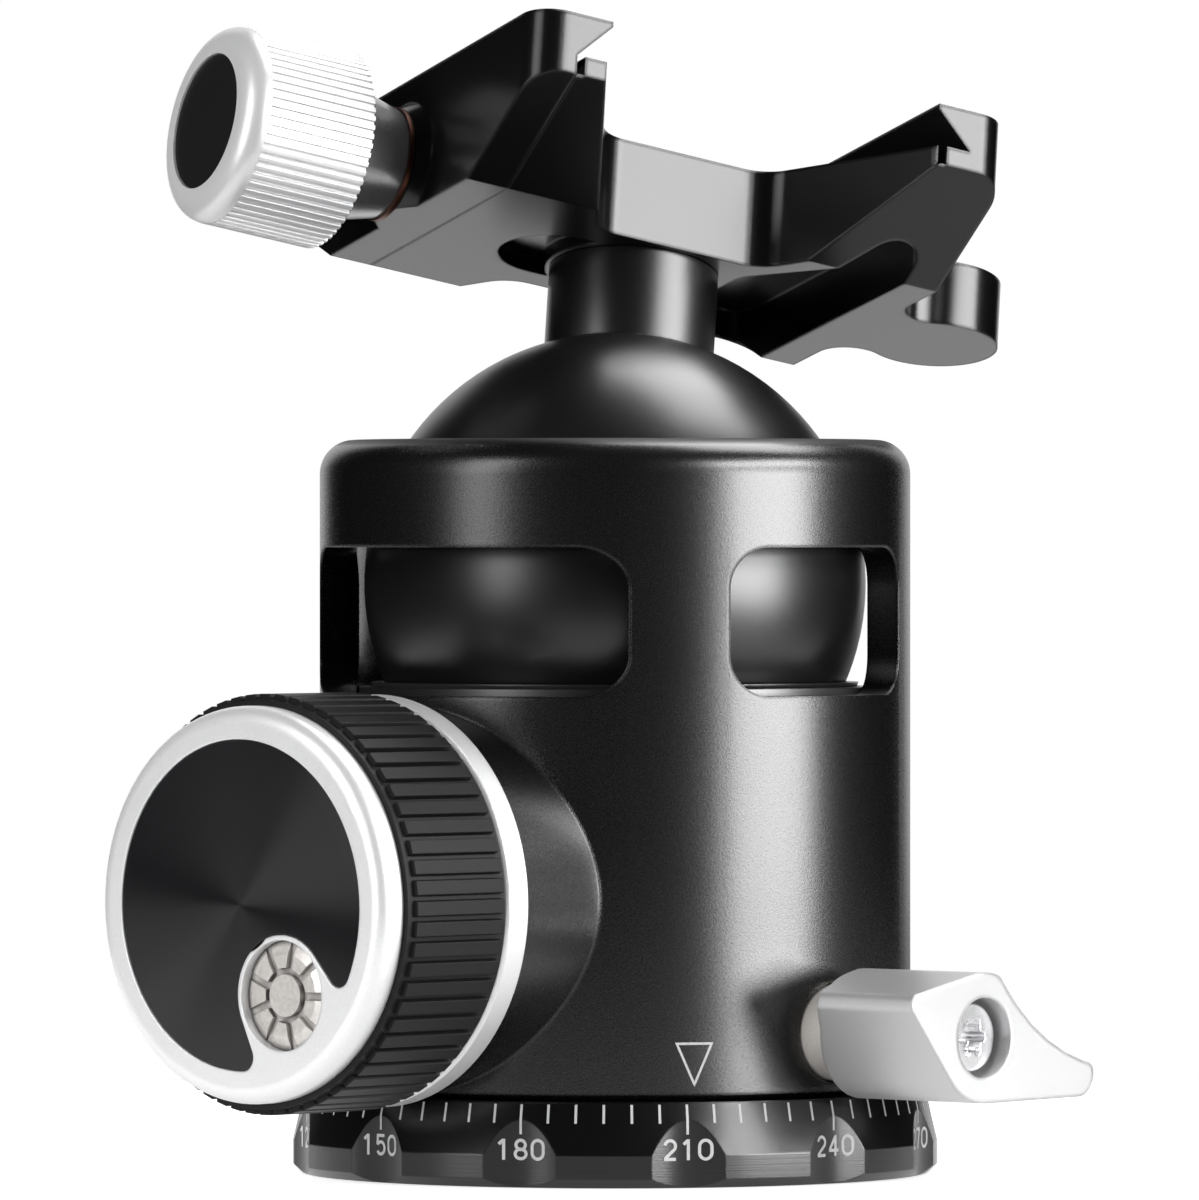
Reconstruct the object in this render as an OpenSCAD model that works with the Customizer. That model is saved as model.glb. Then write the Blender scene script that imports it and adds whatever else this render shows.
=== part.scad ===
// Tripod ball head: panning base with a degree scale, windowed housing, 44 mm ball,
// dovetail clamp with a screw knob, main locking knob with a friction dial, pan lever.
// Origin: centre of the base's bottom face. +Z up, main knob towards -X,
// pan lever towards -Y, drop notch towards +Y. Millimetres.

/* [Ball and stem] */
// Diameter of the ball
ball_d = 44; // [42:0.5:46]
// Diameter of the stem between ball and clamp
stem_d = 15; // [13:0.5:16]
// Distance from the ball's centre to the stem's top face
stem_reach = 28.8; // [27:0.1:34]
// Diameter of the bolt that holds the clamp on the stem
clamp_bolt_d = 6; // [5:0.5:7]
// Length of the clamp bolt's shank
clamp_bolt_len = 18; // [14:0.5:24]

/* [Rest pose] */
// Lean of the stem from upright, in degrees
rest_lean = 18.3; // [0:0.1:30]
// Heading of the lean, in degrees from +X
lean_heading = 32; // [0:1:60]
// Turn of the clamp about the stem, in degrees
clamp_turn = -50.9; // [-90:0.1:90]

/* [Housing] */
// Thickness of the housing's wall
housing_wall = 3.25; // [2.5:0.05:4]
// Height of the housing's rim above the ball's centre
rim_up = 12.6; // [11:0.1:14]
// Height above the ball's centre where the upper ball seat starts
seat_up = 5; // [4.5:0.1:8]
// Radius of the rim's outer edge
rim_round = 3; // [1:0.25:4]
// Chamfer at the housing's foot
foot_chamfer = 0.4; // [0.2:0.1:0.8]
// Diameter of the boss behind the main knob
boss_d = 33; // [28:0.5:33]
// How far the boss stands out of the housing
boss_stand = 3.5; // [2:0.1:6]

/* [Windows] */
// Height of the windows
window_h = 12.8; // [8:0.2:15]
// Distance of the windows' middle below the ball's centre
window_drop = 3.2; // [2.5:0.1:4]
// Half the angle of the two wide windows, in degrees
wide_window_angle = 45; // [30:1:48]
// Half the angle of the narrow window, in degrees
narrow_window_angle = 25; // [15:1:28]
// Corner radius of the windows
window_corner = 3.5; // [1:0.25:4]

/* [Panning base] */
// Height of the scale ring
base_h = 7.3; // [6.5:0.1:10]
// Diameter of the scale ring at its foot
base_d = 56.5; // [54:0.5:62]
// Diameter of the scale ring at its top
base_top_d = 54.4; // [52:0.2:55.4]
// Height of the ring's upright band
band_h = 2.8; // [2:0.1:3.4]
// Chamfer at the ring's foot
base_chamfer = 0.75; // [0.3:0.05:1.2]
// Number of finger scallops round the ring
scallop_count = 12; // [6:1:24]
// Width of the arc that a scallop is cut to
scallop_w = 7.5; // [4:0.1:8]
// Depth of a scallop
scallop_depth = 0.7; // [0.4:0.05:1.4]
// Heading of one of the scallops, in degrees from +X
scallop_heading = -124.5; // [-180:0.5:180]
// Diameter of the panning spindle
spindle_d = 22; // [20:0.5:24]
// Diameter of the spindle's foot flange
spindle_flange_d = 34; // [32:0.5:38]
// Height of the spindle's foot flange
spindle_flange_h = 4.2; // [3.5:0.1:5]
// Depth of the spindle's lock groove
groove_depth = 1.8; // [1:0.1:2.4]
// Minor diameter of the tripod thread
tripod_hole_d = 7.94; // [5:0.02:8.2]
// Depth of the tripod thread
tripod_hole_depth = 12.5; // [9:0.5:15]
// Number of screws that hold the scale ring on the spindle
base_screw_count = 3; // [2:1:6]
// Diameter of those screws
base_screw_d = 3; // [2:0.5:3.5]
// Thickness of the gliding washer under the housing
glide_t = 1; // [0.6:0.1:1.4]
// Width of the gliding washer's ring
glide_w = 7; // [4:0.5:8]
// Thickness of the spindle washer
spindle_washer_t = 0.8; // [0.5:0.1:1.2]
// Width of the washer under the clip
spindle_washer_w = 3; // [2:0.1:3.2]
// Thickness of the spindle's retaining ring
spindle_clip_t = 1; // [0.8:0.1:1.4]
// Opening of the retaining clip
spindle_clip_gap = 3; // [2:0.25:5]

/* [Bearing block] */
// Thickness of the block's floor
block_floor = 8.85; // [8.5:0.05:11]
// Height of the block's rim above its floor
block_rim = 2.9; // [2.6:0.1:4]
// Height of the pan lock's axis above the block's underside
pan_axis_up = 5.45; // [5.2:0.05:5.8]

/* [Main lock] */
// Diameter of the locking screw
lock_screw_d = 7; // [6:0.25:7.5]
// Lead of the locking screw's left-hand thread
lock_lead = 1.5; // [0.75:0.25:2]
// Slope of the wedge, in degrees
wedge_slope = 10; // [8:0.5:10]
// Height of the screw's axis above the wedge's underside
wedge_axis_up = 5.15; // [4.8:0.05:6]
// Height of the wedge's slope above the screw's axis, at the head's axis
wedge_mid_up = 2.6; // [2.4:0.05:2.8]
// Overall width of the wedge
wedge_w = 30; // [26:0.5:31]
// Width of each of the wedge's arms
wedge_arm_w = 6; // [4:0.5:8]
// Reach of the wedge's arms past the head's axis
wedge_reach = 14; // [10:0.5:16]
// Distance of the wedge's nut block from the head's axis
wedge_nut_in = 12; // [12:0.25:14]
// Height of the ball's underside above the screw's axis
ball_over_screw = 5.1; // [5:0.1:7]
// Depth of the cup's rim below the ball's centre
cup_rim_down = 9; // [8.8:0.1:10]
// Diameter of the hole in the cup's floor
cup_hole_d = 16; // [14:0.5:18]
// Thickness of the liner between cup and ball
liner_t = 0.8; // [0.6:0.05:1]
// How far the liner's edge stands above the cup's rim
liner_proud = 0.4; // [0:0.1:0.8]
// Outer diameter of the brass bush in the boss
bush_d = 16; // [12:0.5:18]

/* [Main knob] */
// Diameter of the knob over its rear flange
knob_flange_d = 35.4; // [34:0.2:38]
// Width of the rear flange
knob_flange_w = 3.05; // [2:0.05:4]
// Diameter of the knob over its rubber ribs
knob_grip_d = 35.8; // [34:0.2:38]
// Width of the rubber grip
knob_grip_w = 12.05; // [8:0.05:16]
// Thickness of the rubber between its ribs
knob_rubber_t = 1.2; // [0.8:0.1:2]
// Height of the rubber ribs
knob_rib_h = 0.5; // [0.3:0.05:0.9]
// Number of rubber ribs
knob_rib_count = 64; // [24:2:80]
// Plain margin of rubber at each end of the ribs
knob_rib_margin = 0.7; // [0:0.1:1.5]
// Diameter of the knob's front rim
knob_rim_d = 33.8; // [33:0.2:35]
// Width of the front rim
knob_rim_w = 2.4; // [2:0.1:4]
// Rounding of the front rim
knob_rim_round = 1.4; // [0.5:0.1:1.8]
// Diameter of the black face inside the rim
knob_face_d = 28; // [27:0.5:29]
// Thickness of the face
knob_face_t = 1.2; // [0.8:0.1:1.6]
// Diameter of the screw that holds the knob on its shaft
knob_bolt_d = 4; // [3:0.25:4]

/* [Friction dial] */
// Diameter of the dial
dial_d = 9.3; // [7:0.1:9.6]
// Thickness of the dial
dial_t = 2; // [1.6:0.1:3]
// Distance of the dial's centre below the knob's axis
dial_down = 7.53; // [7:0.01:8]
// Distance of the dial's centre from the knob's axis, towards the pan lever
dial_side = 4.95; // [4.5:0.01:5.5]
// Width of the metal wall round the dial
dial_wall = 0.5; // [0.4:0.05:0.9]
// Diameter of the dial's raised middle
dial_boss_d = 4; // [2:0.1:5]
// Number of radial grooves on the dial
dial_grooves = 9; // [5:1:12]
// Width of those grooves
dial_groove_w = 0.7; // [0.3:0.05:0.8]
// Heading of the first groove, in degrees
dial_groove_turn = 30; // [0:1:39]
// Radius of the dial's flat, inside its sloped edge
dial_flat_r = 3.5; // [3:0.1:4]
// How far the dial lies below the knob's front
dial_sink = 0.4; // [0:0.05:0.6]
// Length of the dial's shaft between its disc and its clip
dial_shaft_len = 4; // [3:0.25:5]
// Length of the shaft past its clip
dial_shaft_tail = 2.6; // [2.2:0.1:3]
// Diameter of the dial's shaft
dial_shaft_d = 3.4; // [2.5:0.1:4]
// Rounding of the face's tips beside the dial
face_tip_round = 1.15; // [0.6:0.05:1.6]
// Angle from the dial's direction to each tip of the face
face_tip_angle = 31.5; // [30:0.5:36]

/* [Pan lock] */
// Diameter of the collar between housing and lever
pan_collar_d = 8.4; // [8:0.1:10.4]
// Length of the collar
pan_collar_len = 3.35; // [2.4:0.05:5]
// Depth of the spot face that the collar sits in
pan_spot_depth = 0.9; // [0.5:0.1:1.2]
// Diameter of the pan lock's stud
pan_stud_d = 5; // [4:0.25:5.5]
// Diameter of the brass pad
pan_pad_d = 6; // [5.75:0.25:7]
// Length of the brass pad
pan_pad_len = 7.2; // [6:0.1:8]
// Axial travel of the pad when the lever is let go
pan_pad_travel = 0.5; // [0.2:0.05:0.6]
// Length of the lever along its axis
lever_len = 14.2; // [11:0.2:18]
// Radius of the lever's hub
lever_hub_r = 5.6; // [5.2:0.1:7]
// Reach of the lever's long wing
lever_tip_reach = 12.4; // [10:0.2:18]
// Drop of the long wing's tip below the axis
lever_tip_drop = 3.45; // [2.5:0.05:3.6]
// Radius of the long wing's tip
lever_tip_r = 2; // [1.5:0.1:2.1]
// Reach of the lever's short wing
lever_heel_reach = 8.4; // [7:0.2:11]
// Rise of the short wing's corner above the axis
lever_heel_rise = 3; // [2:0.1:4]
// Radius of the short wing's corner
lever_heel_r = 1; // [0.6:0.1:1.6]
// Radius of the hollow along the long wing's top
lever_hollow_r = 20; // [16:0.5:26]
// Distance of that hollow's centre beyond the long wing's reach
lever_hollow_out = 5.9; // [4:0.1:8]
// Rounding of the hub where the hollow begins
lever_shoulder_r = 0.9; // [0.3:0.1:1]
// Length of the turned cone at the lever's back, over the hub
lever_cone_h = 2.4; // [1.5:0.1:4]
// Width of that cone
lever_cone_w = 2.2; // [1:0.1:4]
// Distance of the wing's back edge from the lever's back
lever_wing_h = 7; // [4:0.2:9]
// Diameter of the counterbore for the lever's screw
lever_bore_d = 6.9; // [6.5:0.1:8]
// Depth of the screw's head below the lever's face
lever_screw_sink = 1.4; // [1:0.1:3]

/* [Clamp] */
// Thickness of the clamp from its underside to the plate seat
clamp_t = 8.9; // [8.5:0.1:11]
// Length of the jaws
clamp_len = 48.6; // [44:0.2:60]
// Half the distance between the outer faces of the jaws
clamp_half_w = 23.7; // [22.5:0.1:26]
// Half the distance between the roots of the dovetail
root_half = 19.7; // [19:0.1:20.5]
// Overhang of the dovetail's lips
lip_in = 3.3; // [2.5:0.1:3.6]
// Height of the lips' upright noses
lip_nose = 0.5; // [0.3:0.05:0.8]
// Radius of the clamp's corners in plan
clamp_corner = 3; // [1:0.25:3.5]
// Length of the flat underside
clamp_flat_len = 25.4; // [24:0.2:30]
// Height of the slanted underside's outer end above the flat
clamp_slant_h = 7.2; // [4:0.1:7.4]
// Half the length of the clamp's middle bar
bar_half = 8.2; // [7.6:0.1:9]
// Half the width of the end pockets at the middle bar
pocket_in_half = 8.2; // [6:0.1:9]
// Half the width of the end pockets at the clamp's ends
pocket_out_half = 16.8; // [12:0.1:17]
// Corner radius of the end pockets
pocket_corner = 3.5; // [1:0.25:4]
// Width of the relief slots beside the seat
relief_w = 0.75; // [0.4:0.05:1]
// Depth of the relief slots
relief_depth = 1.7; // [0.8:0.1:2.2]
// Distance of the fixed jaw's relief slot from its root
relief_in = 2.3; // [1.5:0.1:3]
// Depth of the large recess in the underside
recess_depth = 5.2; // [2:0.1:5.6]
// Outer reach of the large recess from the stem's axis
recess_reach = 20.3; // [16:0.1:20.5]
// Depth of the small recess on the knob's side
slot_depth = 1.4; // [0.5:0.1:1.5]
// Half the width of the small recess
slot_half = 5.3; // [4:0.1:6]
// Reach of the small recess from the stem's axis
slot_reach = 13; // [11:0.1:15]
// Travel of the moving jaw
jaw_travel = 7; // [3:0.5:7]
// Diameter of the jaw's guide pins
guide_pin_d = 2.5; // [2:0.1:3]
// Distance of each guide pin from the clamp's middle
guide_pin_y = 10.5; // [10:0.1:11.5]
// Outer diameter of the jaw springs
jaw_spring_d = 4.2; // [3.6:0.1:4.6]

/* [Bubble level] */
// Radius of the lobe that carries the level
lobe_r = 5.9; // [5:0.1:8]
// Distance of the lobe's centre from the stem's axis
lobe_reach = 30.7; // [29:0.1:33]
// Height of the lobe
lobe_h = 6; // [5:0.1:7]
// Radius of the hollows beside the lobe
lobe_hollow_r = 3; // [1.5:0.1:3.4]
// Diameter of the level's cup
level_d = 9; // [7:0.1:9.6]
// Depth of the level's cup
level_depth = 4; // [2.5:0.1:4.5]

/* [Clamp knob] */
// Diameter of the clamp knob
clamp_knob_d = 17.5; // [15:0.25:20]
// Length of the clamp knob
clamp_knob_len = 12.2; // [9:0.1:16]
// Number of fine ribs round the clamp knob
clamp_rib_count = 66; // [30:2:80]
// Depth of the clamp knob's ribs
clamp_rib_h = 0.28; // [0.15:0.01:0.4]
// Bevel at the clamp knob's front
clamp_knob_bevel = 1.9; // [0.6:0.1:2]
// Diameter of the cap in the clamp knob's front
clamp_cap_d = 11.9; // [9:0.1:12.4]
// Thickness of the cap
clamp_cap_t = 1.5; // [1:0.1:2]
// Length of the neck behind the clamp knob
clamp_neck_len = 5.4; // [3:0.1:8]
// Diameter of the neck at the knob
clamp_neck_d = 12.6; // [10:0.1:14]
// Diameter of the neck at the jaw
clamp_neck_foot_d = 9.8; // [8:0.1:10.4]
// Thickness of the bronze washer
clamp_washer_t = 0.5; // [0.3:0.05:0.8]
// Height of the jaw's boss under the washer
jaw_boss_h = 1.3; // [0.6:0.1:2]
// Spread of that boss towards the jaw, on the diameter
jaw_boss_spread = 2.6; // [1:0.1:3.4]
// Diameter of the clamp screw
clamp_screw_d = 5; // [4:0.25:5]
// Height of the clamp screw's axis above the clamp's underside
clamp_screw_up = 4.6; // [4.3:0.1:5]

/* [Fits] */
// Gap between base and housing
seam = 0.15; // [0.05:0.05:0.3]
// Running clearance of shafts in their bores, on the radius
fit = 0.05; // [0.02:0.01:0.1]
// Clearance of pieces that are seated in one another
seat_gap = 0.02; // [0.01:0.01:0.05]
// Gap between faces that slide or turn on one another
slide_gap = 0.05; // [0.02:0.01:0.1]
// Gap between the ball and its liner, and between liner and cup
ball_gap = 0.25; // [0.2:0.05:0.35]
// Gap between the ball and the housing's upper seat
seat_ball_gap = 0.3; // [0.2:0.05:0.4]
// Gap between the ball and the housing's bore
cavity_gap = 0.65; // [0.6:0.05:0.9]
// Gap between the cup and the housing's bore
cup_gap = 0.2; // [0.1:0.05:0.3]
// Gap between the knobs or levers and the faces behind them
knob_gap = 0.2; // [0.1:0.05:0.5]
// Gap between the stem and the sides of the drop notch
notch_gap = 0.75; // [0.4:0.05:1.2]
// Gap round the faces let into the knobs
inlay_gap = 0.08; // [0.04:0.01:0.15]

/* [Hidden] */
$fn = 96;
// Margin by which a cut runs past the face that it opens
cut = 1;

// Radii and heights that follow from the sizes above
ball_r = ball_d / 2;
stem_r = stem_d / 2;
cavity_r = ball_r + cavity_gap;
housing_r = cavity_r + housing_wall;
spindle_r = spindle_d / 2;
block_z = base_h + seam;
block_floor_z = block_z + block_floor;
block_top_z = block_floor_z + block_rim;
pan_z = block_z + pan_axis_up;
wedge_z = block_top_z + slide_gap;
knob_z = wedge_z + wedge_axis_up;
ball_z = knob_z + ball_over_screw + ball_r;
rim_z = ball_z + rim_up;
window_z = ball_z - window_drop;
boss_reach = housing_r + boss_stand;

// The spindle's washer and clip lie on the block's floor
spindle_washer_z = block_floor_z + slide_gap;
spindle_clip_z = spindle_washer_z + spindle_washer_t + seat_gap;
spindle_top_z = spindle_clip_z + spindle_clip_t + 0.5;
clip_groove = 0.9;
glide_in_r = spindle_r + 1.5;
base_screw_r = (spindle_d + spindle_flange_d) / 4;
scallop_r = (pow(scallop_w / 2, 2) + pow(scallop_depth, 2)) / (2 * scallop_depth);

// The lock's wedge, cup and liner
lock_screw_r = lock_screw_d / 2;
lock_screw_tip = wedge_nut_in - 2.5;
wedge_corner_r = cavity_r - lock_lead - ball_gap;
wedge_top_z = knob_z + wedge_mid_up;
liner_in_r = ball_r + ball_gap;
liner_out_r = liner_in_r + liner_t;
cup_in_r = liner_out_r + ball_gap;
cup_r = cavity_r - cup_gap;
cup_rim_z = ball_z - cup_rim_down;
cup_foot_z = wedge_z + 1;

// The main knob's faces, as distances from the head's axis
knob_back = boss_reach + knob_gap;
grip_back = knob_back + knob_flange_w;
rim_back = grip_back + knob_grip_w;
knob_front = rim_back + knob_rim_w;
face_floor = knob_front - knob_face_t;
drum_r = knob_grip_d / 2 - knob_rib_h - knob_rubber_t;
knob_bolt_head_h = 3.2;
knob_bolt_seat = face_floor - knob_bolt_head_h - 0.4;
knob_bolt_len = 8;
dial_back = knob_front - dial_sink - dial_t;
dial_cave = dial_back - dial_shaft_len;
dial_shaft_end = dial_cave - dial_shaft_tail;

// The dial's reach, and where a tip of the face has its rounding's centre
dial_reach = norm([dial_down, dial_side]);
tip_reach = knob_face_d / 2 - face_tip_round;
tip_at = tip_reach * [cos(face_tip_angle), sin(face_tip_angle)];

// The pan lock's pieces, as distances from the head's axis
collar_back = housing_r - pan_spot_depth + seam;
lever_back = collar_back + pan_collar_len;
lever_front = lever_back + lever_len;
lever_head_front = lever_front - lever_screw_sink;
lever_head_h = 2.6;
lever_head_r = lever_bore_d / 2 - 0.6;
pad_tip = spindle_r - groove_depth + seam;
pad_back = pad_tip + pan_pad_len;
stud_shoulder = pad_back + pan_pad_travel + 0.3;
pad_hole_depth = 2;
stud_tip = pad_back - pad_hole_depth + pan_pad_travel + 0.2;

// Widths of the end pockets and rise of the slanted undersides
clamp_half_len = clamp_len / 2;
pocket_grow = (pocket_out_half - pocket_in_half) / (clamp_half_len - bar_half);
slant_ratio = clamp_slant_h / (clamp_half_len - clamp_flat_len / 2);
function pocket_half(y) = pocket_in_half + pocket_grow * (y - bar_half);

// The clamp's heights above the ball's centre, along the stem
clamp_c = stem_reach + slide_gap;
seat_c = clamp_c + clamp_t;
lip_c = seat_c + lip_in;
clamp_top_c = lip_c + lip_nose;
screw_c = clamp_c + clamp_screw_up;
bolt_head_r = clamp_bolt_d * 0.83;
bolt_head_h = clamp_bolt_d * 0.7;
bolt_seat_c = seat_c - bolt_head_h - 0.9;
bolt_well_r = bolt_head_r + 0.4;
body_face = root_half - slide_gap;
pin_len_in = body_face - pocket_half(guide_pin_y + guide_pin_d / 2) - 1.1;
pin_c = screw_c - 0.5;
spring_len = 5;
screw_tip = bolt_well_r + 1.8;
jaw_boss_face = clamp_half_w + jaw_boss_h;
washer_face = jaw_boss_face + clamp_washer_t;
neck_face = washer_face + clamp_neck_len;
clamp_knob_front = neck_face + clamp_knob_len;
cap_sink = 0.2;
lobe_hollow_x = clamp_half_w + lobe_hollow_r;
lobe_hollow_y = sqrt(pow(lobe_hollow_r + lobe_r, 2) - pow(lobe_reach - lobe_hollow_x, 2));

// ---------------------------------------------------------------- helpers

// Places children with their z axis on the main knob's axis, pointing outwards.
module on_knob_axis(distance) {
  translate([-distance, 0, knob_z])
    rotate([0, -90, 0])
      children();
}

// Places children on the friction dial's axis, pointing outwards.
module on_dial_axis(distance) {
  on_knob_axis(distance)
    translate([-dial_down, -dial_side, 0])
      children();
}

// Places children on the pan lever's axis, with x to the right and y up.
module on_pan_axis(distance) {
  translate([0, -distance, pan_z])
    rotate([90, 0, 0])
      children();
}

// Frame of the stem: origin at the ball's centre, z along the stem.
module stem_frame() {
  translate([0, 0, ball_z])
    rotate([0, 0, lean_heading])
      rotate([0, rest_lean, 0])
        children();
}

// Frame of the clamp: x from the knob's side to the fixed jaw, z along the stem.
module clamp_frame() {
  stem_frame()
    rotate([0, 0, clamp_turn])
      children();
}

// Places children on the clamp screw's axis, pointing outwards to the knob.
module on_clamp_screw(distance) {
  clamp_frame()
    translate([-distance, 0, screw_c])
      rotate([0, -90, 0])
        children();
}

module tube(outer, inner, height) {
  difference() {
    cylinder(r = outer, h = height);
    translate([0, 0, -cut])
      cylinder(r = inner, h = height + 2 * cut);
  }
}

// Outline of a ring with square ribs on its outside.
module ribbed_disc(root_r, tip_r, count, share) {
  step = 360 / count;
  half = step * share / 2;
  polygon([
    for (i = [0:count - 1], k = [0:3])
      let (
        a = i * step + [-half * 1.3, -half, half, half * 1.3][k],
        r = [root_r, tip_r, tip_r, root_r][k]
      )
      [r * cos(a), r * sin(a)]
  ]);
}

// Rectangle with rounded corners, centred.
module rounded_rect(width, height, radius) {
  offset(r = radius, $fn = 48)
    square([width - 2 * radius, height - 2 * radius], center = true);
}

// Quarter of a disc, for the rounding of a turned edge.
module quarter_disc(radius) {
  intersection() {
    circle(r = radius);
    square(radius);
  }
}

// Six-lobed drive recess of a small screw.
module drive_recess(radius, depth) {
  cylinder(r = radius * 0.72, h = depth);
  for (i = [0:5])
    rotate([0, 0, 60 * i])
      translate([radius * 0.72, 0, 0])
        cylinder(r = radius * 0.24, h = depth, $fn = 24);
}

// ---------------------------------------------------------------- panning base

// Outline of the scale ring, from its foot chamfer up its band and cone.
module scale_ring_profile() {
  foot_r = base_d / 2;
  polygon([
    [spindle_r + fit, 0], [foot_r - base_chamfer, 0], [foot_r, base_chamfer],
    [foot_r, band_h], [base_top_d / 2, base_h], [spindle_r + fit, base_h]
  ]);
}

module scale_ring() {
  color([0.09, 0.09, 0.1])
    difference() {
      rotate_extrude()
        scale_ring_profile();
      translate([0, 0, -cut])
        cylinder(r = spindle_flange_d / 2 + seat_gap, h = spindle_flange_h + seat_gap + cut);
      for (i = [0:scallop_count - 1])
        rotate([0, 0, scallop_heading + 360 * i / scallop_count])
          translate([base_d / 2 - scallop_depth + scallop_r, 0, -cut])
            cylinder(r = scallop_r, h = base_h + 2 * cut);
      base_screw_places()
        translate([0, 0, -cut])
          cylinder(d = base_screw_d + 2 * seat_gap, h = base_h - 0.6 + cut);
    }
}

module base_screw_places() {
  for (i = [0:base_screw_count - 1])
    rotate([0, 0, 30 + 360 * i / base_screw_count])
      translate([base_screw_r, 0, 0])
        children();
}

// Solid that the spindle's flange is cut with, and that the screw fills less a gap.
module base_screw_shape(gap) {
  translate([0, 0, 0.3])
    cylinder(r1 = base_screw_d + gap, r2 = base_screw_d / 2 + gap, h = base_screw_d / 2);
  translate([0, 0, 0.3])
    cylinder(r = base_screw_d / 2 + gap, h = base_h - 1.2);
}

module pan_spindle() {
  color([0.62, 0.6, 0.56])
    difference() {
      union() {
        cylinder(r = spindle_flange_d / 2, h = spindle_flange_h);
        cylinder(r = spindle_r, h = spindle_top_z);
      }
      translate([0, 0, -cut])
        cylinder(d = tripod_hole_d, h = tripod_hole_depth + cut);
      rotate_extrude()
        polygon([
          [spindle_r + cut, pan_z - groove_depth * 1.35 - cut],
          [spindle_r - groove_depth, pan_z - groove_depth * 0.35],
          [spindle_r - groove_depth, pan_z + groove_depth * 0.35],
          [spindle_r + cut, pan_z + groove_depth * 1.35 + cut]
        ]);
      translate([0, 0, spindle_clip_z - seat_gap])
        tube(spindle_r + cut, spindle_r - clip_groove, spindle_clip_t + 2 * seat_gap);
      base_screw_places() {
        base_screw_shape(seat_gap);
        translate([0, 0, -cut])
          cylinder(r = base_screw_d + seat_gap, h = 0.3 + cut);
      }
    }
}

module base_screws() {
  color([0.5, 0.5, 0.52])
    base_screw_places()
      difference() {
        base_screw_shape(0);
        translate([0, 0, 0.3 - cut])
          cylinder(r = base_screw_d * 0.42, h = 1.2 + cut, $fn = 6);
      }
}

module spindle_washer() {
  color([0.75, 0.6, 0.3])
    translate([0, 0, spindle_washer_z])
      tube(spindle_r + spindle_washer_w, spindle_r + fit, spindle_washer_t);
}

// Retaining ring, open at one side, in the spindle's groove.
module spindle_clip() {
  color([0.35, 0.35, 0.37])
    translate([0, 0, spindle_clip_z])
      difference() {
        tube(spindle_r + 1.6, spindle_r - clip_groove + seat_gap, spindle_clip_t);
        translate([0, -spindle_clip_gap / 2, -cut])
          cube([2 * spindle_r, spindle_clip_gap, spindle_clip_t + 2 * cut]);
      }
}

// ---------------------------------------------------------------- housing

module housing_blank() {
  height = rim_z - block_z;
  translate([0, 0, block_z])
    rotate_extrude() {
      translate([0, foot_chamfer])
        square([housing_r, height - foot_chamfer - rim_round]);
      square([housing_r - foot_chamfer, height - rim_round]);
      polygon([
        [housing_r - foot_chamfer - cut, 0], [housing_r - foot_chamfer, 0],
        [housing_r, foot_chamfer], [housing_r - foot_chamfer - cut, foot_chamfer]
      ]);
      square([housing_r - rim_round, height]);
      translate([housing_r - rim_round, height - rim_round])
        quarter_disc(rim_round);
    }
  on_knob_axis(0)
    cylinder(d = boss_d, h = boss_reach);
}

module housing_shell() {
  notch_r = stem_r + notch_gap;
  color([0.08, 0.08, 0.09])
    difference() {
      housing_blank();
      // Bore from below and the ball's upper seat
      translate([0, 0, block_z - cut])
        cylinder(r = cavity_r, h = ball_z + seat_up - block_z + cut);
      translate([0, 0, ball_z])
        sphere(r = ball_r + seat_ball_gap);
      // Wide windows front and rear
      translate([0, 0, window_z])
        rotate([90, 0, 90])
          linear_extrude(2 * housing_r + 2 * cut, center = true)
            rounded_rect(2 * housing_r * sin(wide_window_angle), window_h, window_corner);
      // Narrow window above the pan lever
      translate([0, 0, window_z])
        rotate([90, 0, 0])
          linear_extrude(housing_r + cut)
            rounded_rect(2 * housing_r * sin(narrow_window_angle), window_h, window_corner);
      // Drop notch at the back
      translate([0, 0, ball_z])
        rotate([-90, 0, 0])
          cylinder(r = notch_r, h = housing_r + cut);
      translate([-notch_r, 0, ball_z])
        cube([2 * notch_r, housing_r + cut, rim_up + cut]);
      // Bore for the bush, bore and spot face for the pan lock
      on_knob_axis(0)
        cylinder(d = bush_d + 2 * seat_gap, h = boss_reach + cut);
      on_pan_axis(0)
        cylinder(d = pan_stud_d + 2 * fit, h = housing_r + cut);
      on_pan_axis(housing_r - pan_spot_depth)
        cylinder(d = pan_collar_d + 2 * seam, h = pan_spot_depth + cut);
    }
}

module bearing_block() {
  color([0.55, 0.56, 0.58])
    difference() {
      translate([0, 0, block_z])
        cylinder(r = cavity_r - seat_gap, h = block_top_z - block_z);
      translate([0, 0, block_z - cut])
        cylinder(r = spindle_r + fit, h = block_floor + 2 * cut);
      translate([0, 0, block_floor_z])
        cylinder(r = spindle_r + spindle_washer_w + 0.6, h = block_rim + cut);
      translate([0, 0, block_z - cut])
        tube(glide_in_r + glide_w + seat_gap, glide_in_r - seat_gap, glide_t - seam + cut);
      on_pan_axis(0)
        cylinder(d = pan_pad_d + 2 * fit, h = cavity_r + cut);
    }
}

// Washer between the block and the scale ring; it sets the seam's width.
module glide_washer() {
  color([0.9, 0.9, 0.86])
    translate([0, 0, base_h + seat_gap])
      tube(glide_in_r + glide_w, glide_in_r, glide_t - 2 * seat_gap);
}

module knob_bush() {
  back = cavity_r + ball_gap;
  color([0.78, 0.63, 0.32])
    on_knob_axis(back)
      tube(bush_d / 2, lock_screw_r + fit, boss_reach - seam - back);
}

// ---------------------------------------------------------------- main knob

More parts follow.
